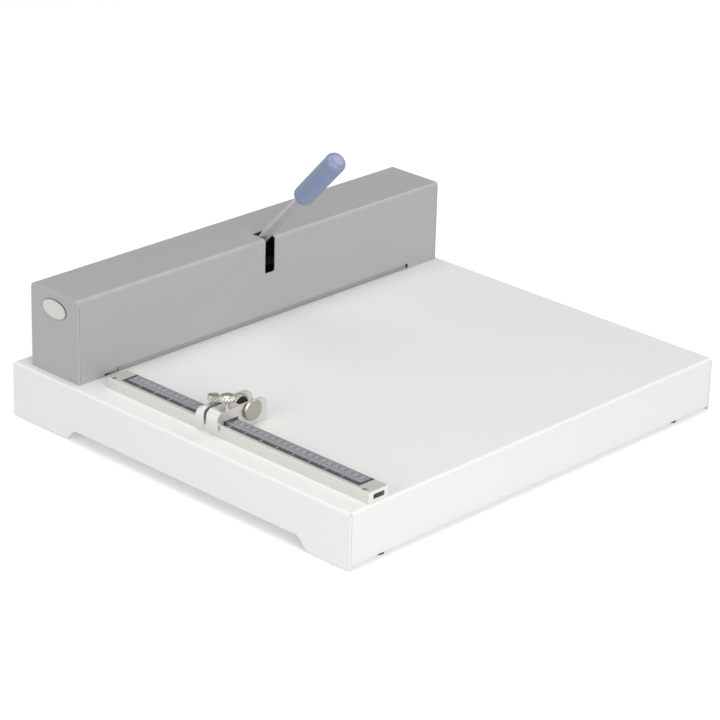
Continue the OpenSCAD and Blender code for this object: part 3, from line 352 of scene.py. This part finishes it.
# Pale and silky, with faint lines along the length that it was drawn in.
satin_aluminium = drawn_metal("satin_anodised_aluminium", "#DEDEDA", "#D4D4D1", 0.45, 0.0012)
# Bright, with the fine marks that a lathe leaves.
turned_steel = drawn_metal("turned_steel", "#CFCFCD", "#BEBEBC", 0.28, 0.0008, (1, 1, 0.05))
# Blackened in a hot bath: nearly black, with a soft sheen.
oxided_steel = drawn_metal("black_oxided_steel", "#2A2A2C", "#222224", 0.4, 0.001)
# Pressed from powder: a dull brown yellow with no direction in it.
bronze = drawn_metal("sintered_bronze", "#B0915A", "#9C8050", 0.42, 0.001, (1, 1, 1))
# The housing's grey a tone darker, so that the strip stands out under it: painted shade, for the shade that
# the strip lies in under the housing.
shade_darkened_grey = powder_coat("guide_powder_coat", "#949492", "#90908E", 0.5)

strip_lip = 0.0025
lip_drop = 0.0043
strip_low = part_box("paper_guide")[0][2]
bm = solid_copy("paper_guide")
lip = [v for v in bm.verts if v.co.z < strip_low + strip_lip]
bmesh.ops.translate(bm, vec=(0, 0, -lip_drop), verts=lip)
break_edges(bm, 0.0004)
# The strip takes the darker grey, painted shade for its place under the housing's edge.
place_piece("paper_guide_piece", bm, shade_darkened_grey, "base", "paper_guide")

cloud_per_metre = 40.0
grain_mm = 0.6
grain_depth = 0.00004


def moulded(name, colour, shade, roughness, coat=0.0):
    """Moulded plastic or rubber: even colour, with the faint grain of its mould."""
    finish, tree = start_finish(name)
    place = add_node(tree, "TexCoord").outputs["Object"]
    cloud = add_node(tree, "TexNoise", {"Scale": cloud_per_metre, "Detail": 2.0}, {"Vector": place})
    tone = add_node(tree, "Mix", {6: linear(colour), 7: linear(shade)}, {0: cloud.outputs[0]},
                    data_type="RGBA")
    grain = add_node(tree, "TexNoise", {"Scale": 1000 / grain_mm, "Detail": 2.0}, {"Vector": place})
    bump = add_node(tree, "Bump", {"Strength": 0.1, "Distance": grain_depth}, {"Height": grain.outputs[0]})
    plastic = add_node(tree, "BsdfPrincipled",
                       {"Roughness": roughness, "Coat Weight": coat, "Coat Roughness": 0.08},
                       {"Base Color": tone.outputs[2], "Normal": bump.outputs[0]})
    add_node(tree, "OutputMaterial", links={"Surface": plastic.outputs[0]})
    return finish


# Dull black rubber, a smoother black plastic, and a grey blue plastic with a soft gloss.
black_rubber = moulded("black_rubber", "#1C1C1C", "#161616", 0.7)
black_plastic = moulded("black_plastic", "#1E1E20", "#18181A", 0.4)
blue_plastic = moulded("blue_plastic", "#7A86A3", "#75819F", 0.42, coat=0.12)

finish_of_slot = {"bare_steel": turned_steel, "spring_steel": turned_steel, "black_steel": oxided_steel,
                  "anodised_aluminium": satin_aluminium, "stop_aluminium": satin_aluminium, "bronze": bronze,
                  "bright_rod": turned_steel, "knob_metal": turned_steel, "white_paint": white_powder,
                  "grey_paint": shade_darkened_grey, "frame_paint": oxided_steel, "black_plastic": black_plastic,
                  "scale_slate": oxided_steel, "black_rubber": black_rubber, "blue_plastic": blue_plastic}
for name, solid in frame["nodes"].items():
    solid.data.materials.clear()
    solid.data.materials.append(finish_of_slot[slot_of_node[name]])


# Side guide
# A drawn aluminium bar with a hollow, satin anodised, its sawn end in the same finish. A dark scale is let
# into its top, printed in inches along one edge and centimetres along the other, the centimetres counted from
# the crease line.
dress_solid("ruler_bar", satin_aluminium, 0.00025)
scale_low, scale_high = [Vector(corner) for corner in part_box("ruler_scale")]
crease_y = next(joint["pos_m"][1] for joint in behaviour["joints"] if joint["name"] == "lever_swing")
scale_lines_per_metre = 900.0


def printed(name, colour, shade):
    """Ink or dye on anodised aluminium, matt, with faint lengthwise lines in the metal."""
    finish, tree = start_finish(name)
    place = add_node(tree, "TexCoord").outputs["Object"]
    run = add_node(tree, "Mapping", {"Scale": (1, 0.02, 1)}, {"Vector": place})
    lines = add_node(tree, "TexNoise", {"Scale": scale_lines_per_metre, "Detail": 2.0},
                     {"Vector": run.outputs[0]})
    tone = add_node(tree, "Mix", {6: linear(colour), 7: linear(shade)}, {0: lines.outputs[0]},
                    data_type="RGBA")
    ink = add_node(tree, "BsdfPrincipled", {"Roughness": 0.45, "Metallic": 0.3},
                   {"Base Color": tone.outputs[2]})
    add_node(tree, "OutputMaterial", links={"Surface": ink.outputs[0]})
    return finish


# A mid grey ground, and inks from nearly black to pale grey that stand out on it.
scale_grey = printed("scale_grey_anodising", "#A0A4A9", "#9A9EA3")
scale_dark = printed("scale_dark_ink", "#4C4D51", "#46474B")
scale_light = printed("scale_light_ink", "#D2D4D6", "#CCCED0")
scale_text = printed("scale_number_ink", "#34363A", "#2E3034")
frame["nodes"]["ruler_scale"].data.materials.clear()
frame["nodes"]["ruler_scale"].data.materials.append(scale_grey)


def patch(bm, x0, x1, y0, y1, z):
    """A flat printed area."""
    size = Matrix.Diagonal(((x1 - x0) / 2, (y1 - y0) / 2, 1, 1))
    bmesh.ops.create_grid(bm, x_segments=1, y_segments=1, size=1,
                          matrix=Matrix.Translation(((x0 + x1) / 2, (y0 + y1) / 2, z)) @ size)


def number(bm, text, size, x, y, z):
    """A printed number, its middle at a place, read from the user's side."""
    curve = bpy.data.curves.new("number", "FONT")
    curve.body = text
    curve.size = size
    curve.align_x = "CENTER"
    curve.align_y = "CENTER"
    holder = bpy.data.objects.new("number", curve)
    shape = bpy.data.meshes.new_from_object(holder)
    shape.transform(Matrix.Translation((x, y, z)))
    bm.from_mesh(shape)
    bpy.data.objects.remove(holder)
    bpy.data.curves.remove(curve)
    bpy.data.meshes.remove(shape)


def mark_length(lengths, count):
    """The length of a mark: that of the first step, longest first, that divides its count."""
    return next(length for step, length in lengths.items() if count % step == 0)


ink_z = scale_high.z + 0.00004
over_ink_z = ink_z + 0.00003
border = 0.0044
inner_y0 = scale_low.y + border
inner_y1 = scale_high.y - border
dark_band_x = scale_low.x + 0.0085
fine_line_x0 = scale_low.x + 0.0118
fine_line_x1 = scale_low.x + 0.0127

bm = bmesh.new()
patch(bm, scale_low.x, dark_band_x, inner_y0, inner_y1, ink_z)
for y0 in (scale_low.y, inner_y1):
    patch(bm, scale_low.x, scale_high.x, y0, y0 + border, ink_z)
patch(bm, fine_line_x0, fine_line_x1, inner_y0, inner_y1, ink_z)
place_piece("scale_dark_print", bm, scale_dark, "base")

inch = 0.0254
inch_marks = {16: 0.0042, 8: 0.0034, 4: 0.0027, 1: 0.0020}
inch_mark_half = 0.00028
inch_number_size = 0.0052
inch_number_x = scale_low.x + 0.0032
bm = bmesh.new()
for i in range(1, int((inner_y1 - inner_y0) / inch * 16) + 1):
    y = inner_y0 + i * inch / 16
    patch(bm, dark_band_x - mark_length(inch_marks, i), dark_band_x, y - inch_mark_half, y + inch_mark_half,
          over_ink_z)
    if i % 16 == 0:
        number(bm, str(i // 16), inch_number_size, inch_number_x, y, over_ink_z)
place_piece("inch_print", bm, scale_light, "base")

centimetre_marks = {10: 0.0040, 5: 0.0030, 1: 0.0021}
centimetre_mark_half = 0.00016
centimetre_mark_x = scale_high.x - 0.0003
centimetre_number_size = 0.0066
centimetre_number_x = scale_low.x + 0.0176
bm = bmesh.new()
for i in range(int((crease_y - inner_y1) * 1000) + 1, int((crease_y - inner_y0) * 1000) + 1):
    y = crease_y - i / 1000
    patch(bm, centimetre_mark_x - mark_length(centimetre_marks, i), centimetre_mark_x,
          y - centimetre_mark_half, y + centimetre_mark_half, ink_z)
    if i % 10 == 0:
        number(bm, str(i // 10), centimetre_number_size, centimetre_number_x, y, ink_z)
place_piece("centimetre_print", bm, scale_text, "base")


# Badge
# A pressed oval plate on the housing's left end: a dished face of brushed bright metal, in an edge ring
# painted near black as painted shade and painted dark reflection on its wall.
badge_low, badge_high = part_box("badge_plate")
badge_mid = Vector([(badge_low[i] + badge_high[i]) / 2 for i in range(3)])
badge_t = badge_high[0] - badge_low[0]
badge_half_y = (badge_high[1] - badge_low[1]) / 2
badge_half_z = (badge_high[2] - badge_low[2]) / 2
badge_share_z = 0.9
badge_drop = 0.0006
badge_rim = 0.0020
weld_dist = 0.000001


def turned(bm, outline, foot, way, steps):
    """Spins an outline of (radius, height) pairs round the axis that leaves a foot."""
    way = Vector(way).normalized()
    out = way.orthogonal().normalized()
    points = [bm.verts.new(Vector(foot) + way * height + out * radius) for radius, height in outline]
    lines = [bm.edges.new(pair) for pair in zip(points, points[1:])]
    bmesh.ops.spin(bm, geom=points + lines, cent=foot, axis=way, angle=math.tau, steps=steps, use_merge=True)
    bmesh.ops.remove_doubles(bm, verts=bm.verts, dist=weld_dist)
    bmesh.ops.recalc_face_normals(bm, faces=bm.faces)


def oval_plate(name, finish, outline):
    """A round pressing, squeezed to the badge's oval."""
    bm = bmesh.new()
    turned(bm, outline, (0, 0, 0), (-1, 0, 0), 96)
    bmesh.ops.scale(bm, vec=(1, 1, badge_share_z * badge_half_z / badge_half_y), verts=bm.verts)
    bmesh.ops.translate(bm, vec=(badge_high[0], badge_mid.y, badge_mid.z - badge_drop), verts=bm.verts)
    place_piece(name, bm, finish, "base", "badge_plate", 50)


# A thin dark line round the edge, painted shade and painted dark reflection for the edge wall, and a face
# brushed lengthwise that takes the light softly.
black_enamel = moulded("black_enamel", "#2C2C2D", "#262627", 0.35)
brushed_metal = drawn_metal("brushed_bright_metal", "#CFCFCB", "#B9B9B5", 0.3, 0.0004, (1, 0.03, 1))
edge_in = badge_half_y - badge_rim
edge_top = badge_t * 0.86
face_out = badge_half_y - 0.0006
oval_plate("badge_edge", black_enamel,
           [(edge_in, 0), (badge_half_y, 0), (badge_half_y, badge_t * 0.78),
            (badge_half_y - 0.0003, edge_top), (edge_in, edge_top), (edge_in, 0)])
oval_plate("badge_face", brushed_metal,
           [(0, 0), (face_out, 0), (face_out, edge_top), (badge_half_y - badge_rim * 0.7, badge_t),
            (edge_in, badge_t * 0.8), (badge_half_y - badge_rim * 2, badge_t * 0.62),
            (badge_half_y - badge_rim * 4, badge_t * 0.55), (0, badge_t * 0.5)])


# Stop
# Two milled blocks of satin aluminium on the side guide, two nickelled thumb screws with fluted heads, and
# the fine adjusting screw between the blocks with its flat disc knob and its lock nut, near black on its
# face, with a knurled rim of uneven nickel.
for node in ("clamp_block", "stop_block"):
    dress_solid(node, satin_aluminium, 0.0003)
# Plated bright, with the slightly warm tone of nickel.
bright_nickel = drawn_metal("bright_nickel", "#BFBAB2", "#A9A49C", 0.24, 0.0007, (1, 1, 0.1))
flute_root = 0.7
flute_shape = 1.6


def flute(bm, foot, way, radius, count, deep):
    """Presses flutes into the rim of a turned head."""
    way = Vector(way)
    for vert in bm.verts:
        arm = vert.co - Vector(foot)
        arm -= way * arm.dot(way)
        if arm.length > radius * flute_root:
            across = way.orthogonal().normalized()
            turn = math.atan2(arm.dot(way.cross(across)), arm.dot(across))
            share = (arm.length / radius - flute_root) / (1 - flute_root)
            vert.co -= arm.normalized() * deep * share * (0.5 + 0.5 * math.cos(count * turn)) ** flute_shape


# The heads' outlines are shares of the head's radius and height, from its underside up.
clamp_head = ((0.60, 0.0), (0.90, 0.03), (0.98, 0.12), (1.0, 0.26), (0.99, 0.42), (0.94, 0.57), (0.85, 0.70),
              (0.75, 0.79), (0.66, 0.84), (0.60, 0.86), (0.55, 0.90), (0.30, 0.975), (0.0, 1.0))
stop_head = ((0.70, 0.0), (0.93, 0.0), (1.0, 0.07), (1.0, 0.80), (0.93, 0.88), (0.80, 0.88), (0.74, 0.84),
             (0.30, 0.84), (0.0, 0.84))
tip_edge = 0.0004
steps_per_flute = 8
for node, block, shank, up, flutes, deep, outline in (
        ("clamp_thumb_screw", "clamp_block", 0.003, 0.0095, 14, 0.0014, clamp_head),
        ("stop_thumb_screw", "stop_block", 0.002, 0.003, 30, 0.0005, stop_head)):
    low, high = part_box(node)
    foot = ((low[0] + high[0]) / 2, (low[1] + high[1]) / 2, low[2])
    radius = (high[0] - low[0]) / 2
    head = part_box(block)[1][2] + up - low[2]
    tall = high[2] - low[2] - head
    bm = bmesh.new()
    turned(bm, [(0, 0), (shank - tip_edge, 0), (shank, tip_edge), (shank, head)] + [
        (r * radius, head + h * tall) for r, h in outline], foot, (0, 0, 1), flutes * steps_per_flute)
    flute(bm, foot, (0, 0, 1), radius, flutes, deep)
    piece = place_piece(node + "_piece", bm, bright_nickel, body_of_node[node], node, 45)

wave_scale = 0.314
ring_depth = 0.00003


def turned_face(name, colour, shade, roughness, centre, pitch):
    """Metal faced on a lathe: fine rings round a centre, about an axis along Y."""
    finish, tree = start_finish(name)
    place = add_node(tree, "TexCoord").outputs["Object"]
    centred = add_node(tree, "Mapping", {"Location": [-c for c in centre]}, {"Vector": place})
    rings = add_node(tree, "TexWave", {"Scale": wave_scale / pitch, "Distortion": 0.4, "Detail": 1.0},
                     {"Vector": centred.outputs[0]}, wave_type="RINGS", rings_direction="Y")
    tone = add_node(tree, "Mix", {6: linear(colour), 7: linear(shade)}, {0: rings.outputs[1]},
                    data_type="RGBA")
    bump = add_node(tree, "Bump", {"Strength": 0.2, "Distance": ring_depth}, {"Height": rings.outputs[1]})
    metal = add_node(tree, "BsdfPrincipled", {"Metallic": 1.0, "Roughness": roughness},
                     {"Base Color": tone.outputs[2], "Normal": bump.outputs[0]})
    add_node(tree, "OutputMaterial", links={"Surface": metal.outputs[0]})
    return finish


knob_low, knob_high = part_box("fine_knob")
knob_foot = ((knob_low[0] + knob_high[0]) / 2, knob_high[1], (knob_low[2] + knob_high[2]) / 2)
knob_r = 0.0132
knob_back = 0.0009
knob_front = 0.0046
knob_boss_r = 0.006
knob_edge = 0.0006
knob_chamfer = 0.0010
spindle_r = 0.0032
spindle_end = 0.0050
# Faced and plated: a dull warm grey with faint rings, half a millimetre apart.
faced_nickel = turned_face("faced_nickel", "#B9B6AE", "#ADAAA2", 0.34, knob_foot, 0.0005)
bm = bmesh.new()
turned(bm, [(spindle_r, 0), (knob_boss_r, 0), (knob_boss_r, knob_back), (knob_r - knob_edge, knob_back),
            (knob_r, knob_back + knob_edge), (knob_r, knob_front - 0.0001 - knob_chamfer),
            (knob_r - knob_chamfer, knob_front - 0.0001), (knob_r - knob_chamfer - knob_edge, knob_front),
            (spindle_r + 0.0002, knob_front), (spindle_r - 0.0001, spindle_end), (0, spindle_end)],
       knob_foot, (0, -1, 0), 96)
knob = place_piece("fine_knob_piece", bm, faced_nickel, body_of_node["fine_knob"], "fine_knob", 35)

nut_low, nut_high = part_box("spindle_lock_nut")
nut_foot = ((nut_low[0] + nut_high[0]) / 2, nut_high[1], (nut_low[2] + nut_high[2]) / 2)
nut_r = (nut_high[2] - nut_low[2]) / 2
nut_t = nut_high[1] - nut_low[1]
nut_face_r = nut_r * 0.8
nut_face_t = nut_t - 0.0002
nut_knurls = 36
steps_per_knurl = 6
knurl_deep = 0.0005
# Nickel rubbed by fingers: uneven, from bright to a dirty grey.
worn_nickel = drawn_metal("worn_nickel", "#A6A39B", "#7E7B74", 0.34, 0.0005, (1, 1, 1))
rim_bm = bmesh.new()
turned(rim_bm, [(nut_face_r, 0), (nut_r - 0.0006, 0), (nut_r, 0.0006), (nut_r, nut_t - 0.0022),
                (nut_r - 0.0016, nut_t - 0.0004), (nut_face_r, nut_t), (nut_face_r, 0)],
       nut_foot, (0, -1, 0), nut_knurls * steps_per_knurl)
flute(rim_bm, nut_foot, (0, -1, 0), nut_r, nut_knurls, knurl_deep)
face_bm = bmesh.new()
turned(face_bm, [(spindle_r, 0), (nut_face_r, 0), (nut_face_r, nut_t - 0.0005),
                 (nut_face_r - 0.0004, nut_face_t), (spindle_r + 0.0004, nut_face_t),
                 (spindle_r, nut_t - 0.0006), (spindle_r, 0)], nut_foot, (0, -1, 0), 96)
for name, bm, finish in (("lock_nut_rim", rim_bm, worn_nickel), ("lock_nut_face", face_bm, black_plastic)):
    piece = place_piece(name, bm, finish, body_of_node["spindle_lock_nut"], "spindle_lock_nut", 45)


# Lever
# A satin chromed rod in a hub of the same finish, with a moulded blue grip.
dress_solid("lever_grip", blue_plastic, 0.0003)
# An even light grey without a mirror image.
satin_chrome = drawn_metal("satin_chromed_steel", "#BCBCBE", "#B6B6B8", 0.52, 0.0008, (1, 1, 1))
for node in ("lever_rod", "lever_hub"):
    frame["nodes"][node].data.materials.clear()
    frame["nodes"][node].data.materials.append(satin_chrome)
